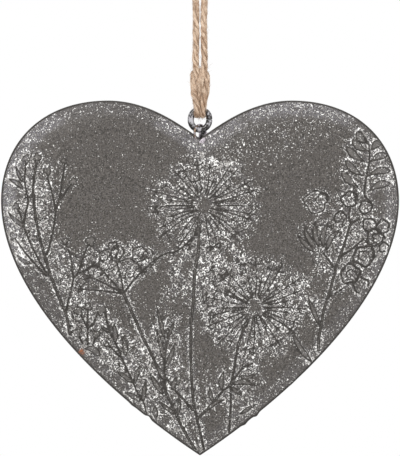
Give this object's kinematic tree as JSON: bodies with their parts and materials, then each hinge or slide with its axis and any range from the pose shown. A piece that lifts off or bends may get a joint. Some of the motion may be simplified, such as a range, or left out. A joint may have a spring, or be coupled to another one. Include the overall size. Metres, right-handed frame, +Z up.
{
  "type": "hanging metal heart",
  "caption": "Hollow pressed sheet-metal heart with embossed meadow plants, hung from a wire eye, a loose ring and a loop of jute twine.",
  "frame": {"origin": "the point on top of the hook or nail where the loop of twine bears, midway between its two legs", "axes": "+Z up along the hanging twine, -Y out of the embossed front, +X to the right seen from the front"},
  "size_m": [0.15, 0.0112, 0.1968],
  "materials": {
    "pressed_iron": "dark zinc-grey patina, matt, with a pale whitewash rubbed into the relief and along the rim",
    "pressed_iron_back": "the same dark patina, plain, with a little pale dust at the rim",
    "eye_wire": "brown-grey wire with a dull solder joint",
    "ring_wire": "dark grey wire, slightly glossy",
    "jute": "natural three-ply jute twine, hairy, matt"
  },
  "bodies": {
    "twine": {"twine_leg_left": "jute", "twine_leg_right": "jute", "twine_hitch": "jute", "twine_knot": "jute"},
    "ring": {"hanging_ring": "ring_wire"},
    "heart": {"front_shell": "pressed_iron", "back_shell": "pressed_iron_back", "hanging_eye": "eye_wire"}
  },
  "joints": [
    {"name": "ring_tilt", "type": "hinge", "parent": "twine", "child": "ring", "pos_m": [0, 0, -0.0489], "axis": [1, 0, 0], "range_deg": [-45, 45]},
    {"name": "heart_swing", "type": "hinge", "parent": "ring", "child": "heart", "pos_m": [0, 0, -0.05295], "axis": [0, 1, 0], "range_deg": [-45, 45]}
  ]
}
